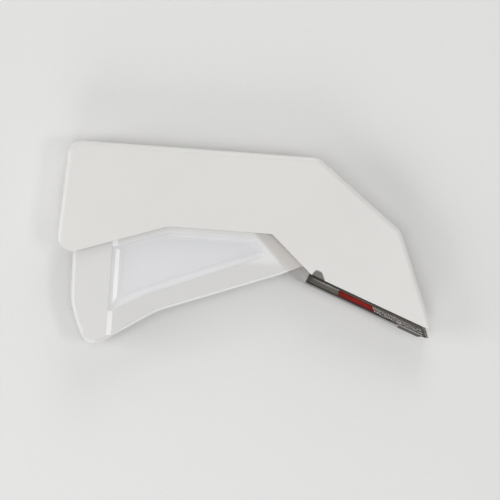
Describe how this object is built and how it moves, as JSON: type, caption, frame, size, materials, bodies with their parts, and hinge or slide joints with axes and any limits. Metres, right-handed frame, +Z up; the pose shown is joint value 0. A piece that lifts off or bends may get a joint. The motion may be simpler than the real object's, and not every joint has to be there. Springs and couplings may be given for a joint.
{
  "type": "skin stapler",
  "caption": "Disposable pistol-shaped skin stapler with a squeeze trigger that drives a steel former through a slanted staple magazine under its nose",
  "frame": {"origin": "bottom centre of the stapler's bounding box, on the flank it lies on", "axes": "X from the rear of the grip to the nose, Y from the trigger to the back of the grip, Z up out of the flank it lies on"},
  "size_m": [0.1598, 0.085, 0.02],
  "materials": {
    "housing_white": "satin moulded white plastic",
    "trigger_white": "satin moulded white plastic",
    "carrier_plastic": "moulded natural plastic",
    "plug_grey": "moulded grey plastic",
    "follower_red": "moulded red plastic",
    "magazine_steel": "darkened stainless sheet",
    "anvil_steel": "stainless steel",
    "bright_steel": "stainless steel",
    "staple_wire": "stainless wire",
    "spring_steel": "spring steel"
  },
  "bodies": {
    "housing": {"left_shell": "housing_white", "right_shell": "housing_white", "pivot_pin": "bright_steel", "return_spring": "spring_steel", "guide_plate": "bright_steel", "magazine_channel": "magazine_steel", "anvil_rail": "anvil_steel", "anvil_clip": "anvil_steel", "magazine_plug": "plug_grey", "ejector_spring": "spring_steel", "follower_spring": "spring_steel"},
    "trigger": {"trigger": "trigger_white", "arm_dowel": "bright_steel", "drive_arm": "bright_steel", "drive_pin": "bright_steel"},
    "driver": {"driver_carrier": "carrier_plastic", "driver_blade": "bright_steel", "driver_rivets": "bright_steel"},
    "feed": {"staples": "staple_wire", "follower": "follower_red"}
  },
  "joints": [
    {"name": "trigger_squeeze", "type": "hinge", "parent": "housing", "child": "trigger", "pos_m": [0.02314, 0.00407, 0.01], "axis": [0, 0, -1], "range_deg": [0, 11], "stiffness_Nm_per_rad": 0.8, "springref_deg": -14.32, "deforming": ["return_spring"]},
    {"name": "driver_stroke", "type": "slide", "parent": "housing", "child": "driver", "axis": [0.3746, -0.9272, 0], "range_m": [0, 0.0064]},
    {"name": "staple_feed", "type": "slide", "parent": "housing", "child": "feed", "axis": [0.9342, -0.3567, 0], "range_m": [-0.005, 0], "stiffness_N_per_m": 120, "springref_m": 0.02, "deforming": ["follower_spring"]}
  ],
  "couplings": [
    {"joint": "driver_stroke", "follows": "trigger_squeeze", "m_per_rad": 0.032635}
  ]
}
